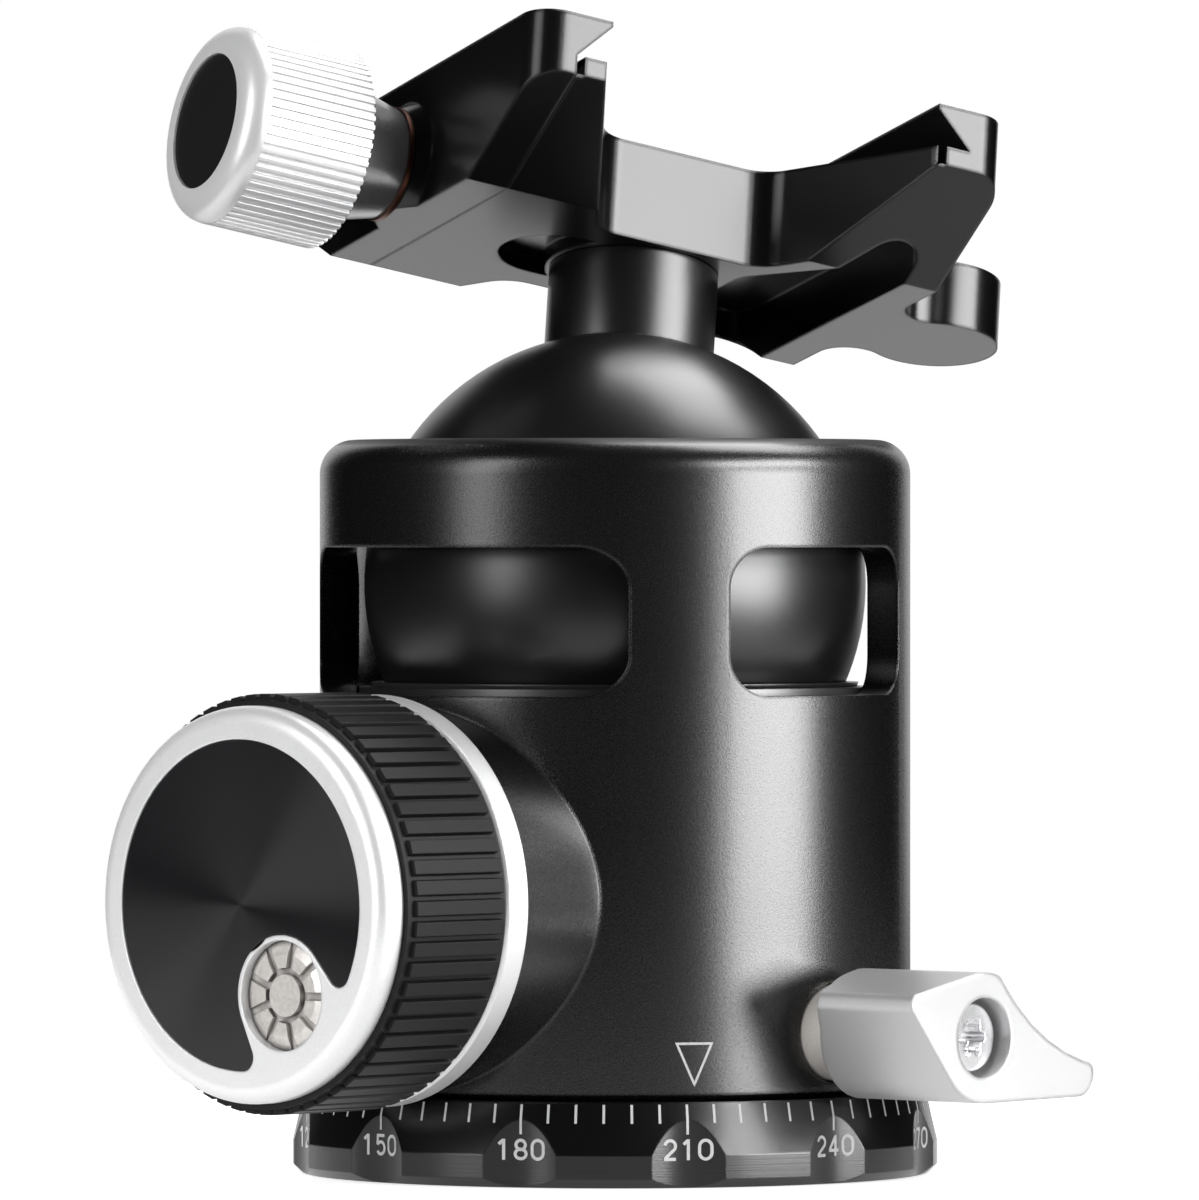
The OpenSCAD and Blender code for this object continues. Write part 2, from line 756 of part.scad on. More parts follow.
// Outline of the black face: a disc that is open round the dial, between two
// rounded tips. A straight line touches the dial's wall and each tip's rounding.
module face_outline(gap) {
  wall_r = dial_d / 2 + fit + dial_wall;
  span = tip_at - [dial_reach, 0];
  turn = atan2(span[1], span[0]) + acos(min(1, (wall_r + face_tip_round) / norm(span)));
  way = [cos(turn), sin(turn)];
  edge = [
    [dial_reach, 0] + (wall_r - gap) * way,
    tip_at - (face_tip_round + gap) * way,
    tip_at,
    3 * tip_at
  ];
  rotate([0, 0, atan2(-dial_side, -dial_down)]) {
    difference() {
      circle(r = knob_face_d / 2 + gap);
      translate([dial_reach, 0])
        circle(r = wall_r - gap);
      polygon(concat(edge, [for (i = [3:-1:0]) [edge[i][0], -edge[i][1]]]));
    }
    for (side = [-1, 1])
      translate([tip_at[0], side * tip_at[1]])
        circle(r = face_tip_round + gap);
  }
}

module main_knob_core() {
  front_r = knob_rim_d / 2;
  color([0.86, 0.86, 0.87])
    difference() {
      union() {
        on_knob_axis(knob_back)
          rotate_extrude()
            polygon([
              [0, 0], [knob_flange_d / 2 - 0.6, 0], [knob_flange_d / 2, 0.6],
              [knob_flange_d / 2, knob_flange_w - 0.3],
              [knob_flange_d / 2 - 0.3, knob_flange_w], [0, knob_flange_w]
            ]);
        on_knob_axis(knob_back)
          cylinder(r = drum_r, h = rim_back - knob_back + knob_rim_w / 2);
        on_knob_axis(rim_back)
          rotate_extrude() {
            square([front_r - knob_rim_round, knob_rim_w]);
            square([front_r, knob_rim_w - knob_rim_round]);
            translate([front_r - knob_rim_round, knob_rim_w - knob_rim_round])
              quarter_disc(knob_rim_round);
          }
      }
      // Pocket of the face
      on_knob_axis(face_floor)
        linear_extrude(knob_face_t + cut)
          face_outline(inlay_gap);
      // Bore for the locking screw, well for the bolt's head
      on_knob_axis(knob_back - cut)
        cylinder(r = lock_screw_r + seat_gap, h = knob_bolt_seat - knob_back - 1 + cut);
      on_knob_axis(knob_back)
        cylinder(d = knob_bolt_d + 0.4, h = knob_front - knob_back);
      on_knob_axis(knob_bolt_seat)
        cylinder(d = knob_bolt_d * 2 + 0.3, h = knob_front - knob_bolt_seat);
      // Bore, shaft hole and rear cave of the friction dial
      on_dial_axis(dial_back - slide_gap)
        cylinder(r = dial_d / 2 + fit, h = dial_t + dial_sink + cut);
      on_dial_axis(knob_back)
        cylinder(d = dial_shaft_d + 2 * fit, h = knob_front - knob_back);
      on_dial_axis(knob_back - cut)
        cylinder(d = dial_shaft_d * 2.4, h = dial_cave - knob_back + cut);
    }
}

module knob_grip() {
  band_r = knob_grip_d / 2 - knob_rib_h;
  width = knob_grip_w - 2 * seat_gap;
  color([0.16, 0.16, 0.17])
    on_knob_axis(grip_back + seat_gap)
      difference() {
        union() {
          cylinder(r = band_r, h = width);
          translate([0, 0, knob_rib_margin])
            linear_extrude(width - 2 * knob_rib_margin)
              ribbed_disc(band_r - 0.2, knob_grip_d / 2, knob_rib_count, 0.66);
        }
        translate([0, 0, -cut])
          cylinder(r = drum_r + seat_gap, h = knob_grip_w + 2 * cut);
      }
}

module knob_face() {
  color([0.05, 0.05, 0.055])
    on_knob_axis(face_floor)
      linear_extrude(knob_face_t - inlay_gap)
        face_outline(0);
}

module lock_screw() {
  end = knob_bolt_seat - 1 - seat_gap;
  color([0.6, 0.6, 0.62])
    difference() {
      on_knob_axis(lock_screw_tip)
        cylinder(r = lock_screw_r, h = end - lock_screw_tip);
      on_knob_axis(knob_bolt_seat - knob_bolt_len - 0.5)
        cylinder(d = knob_bolt_d + 2 * seat_gap, h = knob_bolt_len + 1);
    }
}

module knob_bolt() {
  color([0.3, 0.3, 0.32])
    difference() {
      union() {
        on_knob_axis(knob_bolt_seat - knob_bolt_len)
          cylinder(d = knob_bolt_d, h = knob_bolt_len + 1);
        on_knob_axis(knob_bolt_seat)
          cylinder(r = knob_bolt_d, h = knob_bolt_head_h);
      }
      on_knob_axis(knob_bolt_seat + knob_bolt_head_h / 2)
        cylinder(d = knob_bolt_d, h = knob_bolt_head_h, $fn = 6);
    }
}

module friction_dial() {
  color([0.74, 0.72, 0.7])
    difference() {
      union() {
        on_dial_axis(dial_back)
          cylinder(d = dial_d, h = dial_t - 0.55);
        on_dial_axis(dial_back)
          cylinder(d1 = dial_boss_d, d2 = dial_boss_d - 0.4, h = dial_t);
        on_dial_axis(dial_back)
          dial_teeth();
        on_dial_axis(dial_shaft_end)
          cylinder(d = dial_shaft_d, h = dial_back - dial_shaft_end + 1);
      }
      on_dial_axis(dial_cave - 1.2 - seat_gap)
        tube(dial_shaft_d, dial_shaft_d / 2 - 0.5, 0.8 + 2 * seat_gap);
    }
}

// Raised sectors between the dial's radial grooves, sloped near its edge.
module dial_teeth() {
  root_r = dial_boss_d / 2 + 0.35;
  difference() {
    rotate_extrude()
      polygon([
        [root_r, 0], [dial_d / 2, 0], [dial_d / 2, dial_t - 0.45],
        [dial_flat_r, dial_t - 0.1], [root_r, dial_t - 0.1]
      ]);
    for (i = [0:dial_grooves - 1])
      rotate([0, 0, dial_groove_turn + 360 * i / dial_grooves])
        translate([0, -dial_groove_w / 2, -cut])
          cube([dial_d, dial_groove_w, dial_t + 2 * cut]);
  }
}

module dial_clip() {
  color([0.35, 0.35, 0.37])
    on_dial_axis(dial_cave - 1.2)
      difference() {
        tube(dial_shaft_d, dial_shaft_d / 2 - 0.5 + seat_gap, 0.8);
        translate([0, -0.8, -cut])
          cube([dial_shaft_d * 2, 1.6, 0.8 + 2 * cut]);
      }
}

// ---------------------------------------------------------------- lock mechanism

// Everything below the wedge's sloped face, raised by a gap.
module under_slope(width, gap) {
  depth = 40;
  translate([0, 0, wedge_top_z + gap])
    rotate([0, wedge_slope, 0])
      translate([-2 * cavity_r, -width / 2, -depth])
        cube([4 * cavity_r, width, depth]);
}

module lock_wedge() {
  color([0.66, 0.66, 0.68])
    difference() {
      intersection() {
        under_slope(wedge_w, 0);
        translate([0, 0, wedge_z])
          cylinder(r = wedge_corner_r, h = cavity_r);
      }
      translate([wedge_reach, -wedge_w, wedge_z - cut])
        cube([cavity_r, 2 * wedge_w, cavity_r + 2 * cut]);
      translate([-wedge_nut_in, wedge_arm_w - wedge_w / 2, wedge_z - cut])
        cube([2 * cavity_r, wedge_w - 2 * wedge_arm_w, cavity_r + 2 * cut]);
      on_knob_axis(0)
        cylinder(r = lock_screw_r + fit, h = housing_r);
    }
}

module ball_cup() {
  color([0.12, 0.12, 0.13])
    difference() {
      translate([0, 0, cup_foot_z])
        cylinder(r = cup_r, h = cup_rim_z - cup_foot_z);
      translate([0, 0, ball_z])
        sphere(r = cup_in_r);
      under_slope(wedge_w + 2 * cup_gap, slide_gap);
      translate([0, 0, cup_foot_z - cut])
        cylinder(d = cup_hole_d, h = ball_z - cup_foot_z);
    }
}

module cup_liner() {
  edge_z = cup_rim_z + liner_proud;
  color([0.2, 0.2, 0.21])
    difference() {
      translate([0, 0, ball_z])
        sphere(r = liner_out_r);
      translate([0, 0, ball_z])
        sphere(r = liner_in_r);
      translate([-ball_d, -ball_d, edge_z])
        cube([2 * ball_d, 2 * ball_d, 2 * ball_d]);
      translate([0, 0, ball_z - ball_d])
        cylinder(d = cup_hole_d + 2, h = ball_d);
    }
}

module ball_and_stem() {
  color([0.1, 0.1, 0.11])
    stem_frame()
      difference() {
        union() {
          sphere(r = ball_r);
          cylinder(r = stem_r, h = stem_reach);
        }
        translate([0, 0, bolt_seat_c - clamp_bolt_len - 0.5])
          cylinder(r = clamp_bolt_d / 2 + fit, h = clamp_bolt_len + stem_reach);
      }
}

// ---------------------------------------------------------------- clamp

// Outline of the clamp in plan: a rectangle with rounded corners at the jaws' ends.
module clamp_plan() {
  rounded_rect(2 * clamp_half_w, clamp_len, clamp_corner);
}

// The slanted undersides of both ends.
module end_slants() {
  for (side = [0, 1])
    mirror([0, side, 0])
      rotate([90, 0, 90])
        linear_extrude(4 * clamp_half_w, center = true)
          polygon([
            [clamp_flat_len / 2 - cut, clamp_c - cut * slant_ratio],
            [clamp_half_len + cut, clamp_c + clamp_slant_h + cut * slant_ratio],
            [clamp_half_len + cut, clamp_c - 2 * cut],
            [clamp_flat_len / 2 - cut, clamp_c - 2 * cut]
          ]);
}

// Open pockets in both ends, between the fixed jaw and the knob's side.
module end_pockets() {
  far = clamp_half_len + 2 * pocket_corner;
  for (side = [0, 1])
    mirror([0, side, 0])
      translate([0, 0, clamp_c - cut])
        linear_extrude(clamp_t + 2 * cut)
          offset(r = pocket_corner, $fn = 48)
            offset(delta = -pocket_corner)
              polygon([
                [-pocket_in_half, bar_half], [pocket_in_half, bar_half],
                [pocket_half(far), far], [-pocket_half(far), far]
              ]);
}

// Large recess in the underside of the fixed jaw's side.
module underside_recess() {
  corner = 2.5;
  web = 3.1;
  near = stem_r + 0.4;
  reach_y = bar_half + (recess_reach - web - corner - pocket_in_half) / pocket_grow;
  wide = min(reach_y, clamp_half_len - 2 * web);
  translate([0, 0, clamp_c - cut])
    linear_extrude(recess_depth + cut)
      offset(r = corner, $fn = 48)
        offset(delta = -corner)
          polygon([
            [near, -bar_half + web], [near, bar_half - web],
            [recess_reach - corner, wide],
            [recess_reach, wide - corner],
            [recess_reach, corner - wide],
            [recess_reach - corner, -wide]
          ]);
}

// Shallow recess with a round end on the knob's side, as far as the stem.
module underside_slot() {
  translate([0, 0, clamp_c - cut])
    linear_extrude(slot_depth + cut)
      difference() {
        union() {
          translate([slot_half - slot_reach, 0])
            circle(r = slot_half);
          translate([slot_half - slot_reach, -slot_half])
            square([slot_reach - slot_half, 2 * slot_half]);
        }
        circle(r = stem_r + 0.4);
      }
}

// Lobe for the bubble level, blended into the fixed jaw by two hollows.
module lobe_plan() {
  share = lobe_r / (lobe_r + lobe_hollow_r);
  touch_x = lobe_reach + (lobe_hollow_x - lobe_reach) * share;
  touch_y = lobe_hollow_y * share;
  translate([lobe_reach, 0])
    circle(r = lobe_r);
  difference() {
    polygon([
      [clamp_half_w - cut, -lobe_hollow_y], [clamp_half_w, -lobe_hollow_y],
      [touch_x, -touch_y], [lobe_reach, 0], [touch_x, touch_y],
      [clamp_half_w, lobe_hollow_y], [clamp_half_w - cut, lobe_hollow_y]
    ]);
    for (side = [-1, 1])
      translate([lobe_hollow_x, side * lobe_hollow_y])
        circle(r = lobe_hollow_r);
  }
}

// Cross-section of the platform and the fixed jaw.
module body_section() {
  polygon([
    [-body_face, clamp_c], [clamp_half_w, clamp_c], [clamp_half_w, clamp_top_c],
    [root_half - lip_in, clamp_top_c], [root_half - lip_in, lip_c],
    [root_half, seat_c],
    [root_half - relief_in, seat_c], [root_half - relief_in, seat_c - relief_depth],
    [root_half - relief_in - relief_w, seat_c - relief_depth],
    [root_half - relief_in - relief_w, seat_c],
    [relief_w - body_face, seat_c], [relief_w - body_face, seat_c - relief_depth],
    [-body_face, seat_c - relief_depth]
  ]);
}

module along_jaw() {
  rotate([90, 0, 0])
    linear_extrude(clamp_len + 2 * cut, center = true)
      children();
}

module clamp_body() {
  color([0.07, 0.07, 0.08])
    clamp_frame()
      difference() {
        union() {
          intersection() {
            along_jaw()
              body_section();
            translate([0, 0, clamp_c - cut])
              linear_extrude(clamp_t + 3 * lip_in)
                clamp_plan();
          }
          translate([0, 0, clamp_c])
            linear_extrude(lobe_h)
              lobe_plan();
        }
        end_slants();
        end_pockets();
        underside_recess();
        underside_slot();
        // Well and hole of the bolt into the stem
        translate([0, 0, bolt_seat_c])
          cylinder(r = bolt_well_r, h = clamp_t);
        translate([0, 0, clamp_c - cut])
          cylinder(r = clamp_bolt_d / 2 + fit, h = clamp_t);
        // Bores of the clamp screw and the guide pins
        translate([-screw_tip, 0, screw_c])
          rotate([0, -90, 0])
            cylinder(r = clamp_screw_d / 2 + fit, h = clamp_half_w);
        guide_pin_places(body_face - pin_len_in - 0.4)
          cylinder(r = guide_pin_d / 2 + fit, h = clamp_half_w);
        guide_pin_places(body_face - spring_len)
          cylinder(d = jaw_spring_d + 0.2, h = clamp_half_w);
        // Cup of the bubble level
        translate([lobe_reach, 0, clamp_c + lobe_h - level_depth])
          cylinder(d = level_d + 2 * seat_gap, h = level_depth + cut);
      }
}

module guide_pin_places(distance) {
  for (side = [-1, 1])
    translate([-distance, side * guide_pin_y, pin_c])
      rotate([0, -90, 0])
        children();
}

module clamp_bolt() {
  color([0.45, 0.45, 0.47])
    clamp_frame()
      difference() {
        union() {
          translate([0, 0, bolt_seat_c])
            cylinder(r = bolt_head_r, h = bolt_head_h);
          translate([0, 0, bolt_seat_c - clamp_bolt_len])
            cylinder(d = clamp_bolt_d, h = clamp_bolt_len + 1);
        }
        translate([0, 0, bolt_seat_c + bolt_head_h * 0.4])
          cylinder(r = bolt_head_r * 0.58, h = bolt_head_h, $fn = 6);
      }
}

module level_cup() {
  floor_t = 0.8;
  wall = 0.8;
  color([0.8, 0.85, 0.45])
    clamp_frame()
      translate([lobe_reach, 0, clamp_c + lobe_h - level_depth])
        difference() {
          cylinder(d = level_d, h = level_depth + 0.1);
          translate([0, 0, floor_t])
            cylinder(d = level_d - 2 * wall, h = level_depth);
        }
}

module level_lens() {
  floor_t = 0.8;
  wall = 0.8;
  color([0.8, 0.95, 0.6, 0.5])
    clamp_frame()
      translate([lobe_reach, 0, clamp_c + lobe_h - level_depth + floor_t])
        cylinder(d = level_d - 2 * wall - 2 * seat_gap, h = level_depth - floor_t);
}

// The jaw's springs, pushed together on the guide pins.
module jaw_springs() {
  color([0.6, 0.6, 0.6])
    clamp_frame()
      guide_pin_places(body_face - spring_len + seat_gap)
        tube(jaw_spring_d / 2, guide_pin_d / 2 + fit, spring_len - 0.4);
}

module jaw_section() {
  polygon([
    [-clamp_half_w, clamp_c], [-root_half, clamp_c], [-root_half, seat_c],
    [lip_in - root_half, lip_c], [lip_in - root_half, clamp_top_c],
    [-clamp_half_w, clamp_top_c]
  ]);
}

module moving_jaw() {
  color([0.07, 0.07, 0.08])
    clamp_frame()
      difference() {
        union() {
          intersection() {
            along_jaw()
              jaw_section();
            translate([0, 0, clamp_c - cut])
              linear_extrude(clamp_t + 3 * lip_in)
                clamp_plan();
          }
          translate([0.5 - clamp_half_w, 0, screw_c])
            rotate([0, -90, 0])
              cylinder(
                d1 = clamp_neck_foot_d + jaw_boss_spread,
                d2 = clamp_neck_foot_d,
                h = jaw_boss_h + 0.5
              );
        }
        end_slants();
        translate([0, 0, screw_c])
          rotate([0, -90, 0])
            cylinder(r = clamp_screw_d / 2 + fit, h = 2 * clamp_half_w);
        guide_pin_places(0)
          cylinder(r = guide_pin_d / 2 + seat_gap, h = clamp_half_w - 1);
        translate([-2 * clamp_half_w, -clamp_half_len, clamp_c - clamp_neck_foot_d])
          cube([4 * clamp_half_w, clamp_len, clamp_neck_foot_d]);
      }
}

module guide_pins() {
  color([0.7, 0.7, 0.72])
    clamp_frame()
      guide_pin_places(body_face - pin_len_in)
        cylinder(d = guide_pin_d, h = pin_len_in + clamp_half_w - root_half - 1.1);
}

// ---------------------------------------------------------------- clamp knob

module clamp_knob() {
  knob_r = clamp_knob_d / 2;
  rib_end = clamp_knob_len - clamp_knob_bevel;
  color([0.9, 0.9, 0.91])
    on_clamp_screw(neck_face)
      difference() {
        union() {
          linear_extrude(rib_end - 0.1)
            ribbed_disc(knob_r - clamp_rib_h, knob_r, clamp_rib_count, 0.5);
          // Smooth rim, rounded to the front
          rotate_extrude() {
            translate([0, rib_end - 0.2])
              square([knob_r - 0.03, 0.2]);
            translate([0, rib_end - 0.2])
              square([knob_r - 0.03 - clamp_knob_bevel, clamp_knob_bevel + 0.2]);
            translate([knob_r - 0.03 - clamp_knob_bevel, rib_end])
              quarter_disc(clamp_knob_bevel);
          }
        }
        translate([0, 0, clamp_knob_len - clamp_cap_t - cap_sink])
          cylinder(d = clamp_cap_d + 2 * inlay_gap, h = clamp_cap_t + cap_sink + cut);
        translate([0, 0, -cut])
          cylinder(r = clamp_screw_d / 2 + seat_gap, h = clamp_knob_len);
      }
}

module clamp_knob_cap() {
  color([0.05, 0.05, 0.055])
    on_clamp_screw(clamp_knob_front - clamp_cap_t - cap_sink)
      cylinder(d = clamp_cap_d, h = clamp_cap_t);
}

module clamp_neck() {
  color([0.55, 0.55, 0.57])
    on_clamp_screw(washer_face)
      difference() {
        cylinder(d1 = clamp_neck_foot_d, d2 = clamp_neck_d, h = clamp_neck_len);
        translate([0, 0, -cut])
          cylinder(r = clamp_screw_d / 2 + seat_gap, h = clamp_neck_len + 2 * cut);
      }
}

module clamp_washer() {
  color([0.45, 0.28, 0.18])
    on_clamp_screw(jaw_boss_face + slide_gap)
      tube(clamp_neck_foot_d / 2 + 0.2, clamp_screw_d / 2 + seat_gap, clamp_washer_t - slide_gap);
}

module clamp_screw() {
  color([0.62, 0.62, 0.64])
    on_clamp_screw(screw_tip + 0.3)
      cylinder(r = clamp_screw_d / 2, h = clamp_knob_front - clamp_cap_t - cap_sink - 1 - screw_tip);
}

// ---------------------------------------------------------------- pan lock

// Outline of the lever: hub, short wing, and long wing with a hollow top.
module lever_outline() {
  offset(r = lever_shoulder_r, $fn = 48)
    offset(delta = -lever_shoulder_r)
      lever_blank();
}

module lever_blank() {
  difference() {
    hull($fn = 48) {
      circle(r = lever_hub_r);
      translate([-lever_heel_reach, lever_heel_rise])
        circle(r = lever_heel_r);
      translate([lever_tip_reach, -lever_tip_drop])
        circle(r = lever_tip_r);
    }
    translate([lever_tip_reach + lever_hollow_out, lever_hollow_r - lever_tip_drop + 0.35])
      circle(r = lever_hollow_r);
  }
}

module pan_lever() {
  wing_r = lever_tip_reach + lever_tip_r + 2;
  color([0.88, 0.88, 0.89])
    difference() {
      intersection() {
        on_pan_axis(lever_back)
          linear_extrude(lever_len)
            lever_outline();
        // The lever's back is turned to a cone
        on_pan_axis(lever_back)
          rotate_extrude()
            polygon([
              [0, -cut], [lever_hub_r - 0.6, -cut], [lever_hub_r - 0.6, 0],
              [lever_hub_r + lever_cone_w, lever_cone_h], [wing_r, lever_wing_h],
              [wing_r, lever_len + cut], [0, lever_len + cut]
            ]);
      }
      on_pan_axis(lever_back - cut)
        cylinder(r = pan_stud_d / 2 + seat_gap, h = lever_len);
      on_pan_axis(lever_head_front - lever_head_h)
        cylinder(d = lever_bore_d, h = lever_len);
    }
}

module lever_screw() {
  color([0.75, 0.75, 0.76])
    difference() {
      on_pan_axis(lever_head_front - lever_head_h + seat_gap)
        cylinder(r = lever_head_r, h = lever_head_h - seat_gap);
      on_pan_axis(lever_head_front - 1.4)
        drive_recess(lever_head_r * 0.62, 1.4 + cut);
    }
}

module pan_collar() {
  color([0.6, 0.55, 0.52])
    on_pan_axis(collar_back)
      tube(pan_collar_d / 2, pan_stud_d / 2 + seat_gap, pan_collar_len);
}

module pan_stud() {
  color([0.55, 0.55, 0.57]) {
    on_pan_axis(stud_shoulder)
      cylinder(d = pan_stud_d, h = lever_head_front - lever_head_h - stud_shoulder);
    on_pan_axis(stud_tip)
      cylinder(d = pan_pad_d * 0.5, h = stud_shoulder - stud_tip + 0.5);
  }
}

// Brass pad whose cone presses into the spindle's groove.
module pan_pad() {
  tip_r = groove_depth * 0.35;
  cone_len = pan_pad_d / 2 - tip_r;
  color([0.78, 0.63, 0.32])
    difference() {
      union() {
        on_pan_axis(pad_tip)
          cylinder(r1 = tip_r, r2 = pan_pad_d / 2, h = cone_len);
        on_pan_axis(pad_tip + cone_len)
          cylinder(d = pan_pad_d, h = pan_pad_len - cone_len);
      }
      on_pan_axis(pad_back - pad_hole_depth)
        cylinder(r = pan_pad_d * 0.25 + fit, h = pad_hole_depth + cut);
    }
}

// ---------------------------------------------------------------- nodes

scale_ring();
pan_spindle();
base_screws();
spindle_washer();
spindle_clip();
housing_shell();
bearing_block();
glide_washer();
knob_bush();
main_knob_core();
knob_grip();
knob_face();
lock_screw();
knob_bolt();
friction_dial();
dial_clip();
lock_wedge();
ball_cup();
cup_liner();
ball_and_stem();
clamp_body();
clamp_bolt();
level_cup();
level_lens();
jaw_springs();
moving_jaw();
guide_pins();
clamp_knob();
clamp_knob_cap();
clamp_neck();
clamp_washer();
clamp_screw();
pan_lever();
lever_screw();
pan_collar();
pan_stud();
pan_pad();
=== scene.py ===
"""Looks of the tripod ball head: materials, printed marks, camera and studio."""
import math

import bpy
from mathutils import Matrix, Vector
from mathutils.bvhtree import BVHTree


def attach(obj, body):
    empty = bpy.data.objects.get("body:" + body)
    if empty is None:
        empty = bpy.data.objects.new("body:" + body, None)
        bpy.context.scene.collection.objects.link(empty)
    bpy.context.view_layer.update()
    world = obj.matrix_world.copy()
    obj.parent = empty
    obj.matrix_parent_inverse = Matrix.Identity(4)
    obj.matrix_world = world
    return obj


MM = 0.001

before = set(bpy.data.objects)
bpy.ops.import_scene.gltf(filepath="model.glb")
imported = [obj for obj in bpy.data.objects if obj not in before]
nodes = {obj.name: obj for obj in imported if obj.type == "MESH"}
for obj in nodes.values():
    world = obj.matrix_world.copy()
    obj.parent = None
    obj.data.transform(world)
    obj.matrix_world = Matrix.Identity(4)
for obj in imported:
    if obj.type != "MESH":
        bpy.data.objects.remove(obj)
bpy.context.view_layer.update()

# ---------------------------------------------------------------- node helpers


def add_node(tree, kind, inputs=None, **settings):
    """A shader node. Each input is a value or another node's output."""
    node = tree.nodes.new(kind)
    for key, value in settings.items():
        setattr(node, key, value)
    for key, value in (inputs or {}).items():
        if isinstance(value, bpy.types.NodeSocket):
            tree.links.new(value, node.inputs[key])
        else:
            node.inputs[key].default_value = value
    return node


def maths(tree, operation, *values):
    inputs = dict(enumerate(values))
    return add_node(tree, "ShaderNodeMath", inputs, operation=operation).outputs[0]


def remap(tree, value, from_range, to_range):
    """A value moved from one range to another, held at the ends."""
    inputs = {
        "Value": value,
        "From Min": from_range[0],
        "From Max": from_range[1],
        "To Min": to_range[0],
        "To Max": to_range[1],
    }
    return add_node(tree, "ShaderNodeMapRange", inputs).outputs[0]


def noise(tree, inputs, detail, **settings):
    inputs = {**inputs, "Detail": detail}
    return add_node(tree, "ShaderNodeTexNoise", inputs, **settings).outputs[0]


def vector_maths(tree, operation, *values):
    return add_node(tree, "ShaderNodeVectorMath", dict(enumerate(values)), operation=operation)


def empty_tree(owner):
    owner.use_nodes = True
    owner.node_tree.nodes.clear()
    return owner.node_tree


# ---------------------------------------------------------------- materials

# Noise: the scale of the slow changes, the detail of slow changes and marks, the fine grain's
# detail and its share in the mix
SLOW_SCALE = 70.0
BASIC_DETAIL = 2.0
FINE_DETAIL = 3.0
FINE_ROUGHNESS = 0.6
FINE_SHARE = 0.7
NOISE_RANGE = (0.3, 0.7)
ROUGH_SPREAD = 0.02
# Blasted faces: how squarely they face the direction, and the roughness they add
BLASTED_FACING = (0.8, 0.95)
BLASTED_EXTRA = 0.28
# Painted shade in grooves: the open share of sky, and the share of colour that is left
GROOVE_SHADE_OPEN = (0.35, 0.85)
GROOVE_SHADE_TONE = (0.12, 1.0)
BEVEL_SAMPLES = 4
GROOVE_SHADE_SAMPLES = 8
IOR = 1.5
COAT_ROUGHNESS = 0.12
# A quarter turn, so that the gloss is stretched across the turning marks
STRETCH_TURN = 0.25


def ring_marks(tree, where, axis, centre, pitch):
    """Turning marks round an axis, X, Y or Z, through a centre in mm."""
    shifted = vector_maths(tree, "SUBTRACT", where, [c * MM for c in centre]).outputs[0]
    across = [0.0 if a == axis else 1.0 for a in "XYZ"]
    flat = vector_maths(tree, "MULTIPLY", shifted, across).outputs[0]
    distance = vector_maths(tree, "LENGTH", flat).outputs["Value"]
    inputs = {"W": distance, "Scale": 1 / (pitch * MM)}
    return noise(tree, inputs, BASIC_DETAIL, noise_dimensions="1D")


def streak_marks(tree, where, scales):
    """Brushed lines, stretched as the scales along X, Y and Z say."""
    stretched = vector_maths(tree, "MULTIPLY", where, scales).outputs[0]
    return noise(tree, {"Vector": stretched, "Scale": 1.0}, BASIC_DETAIL)


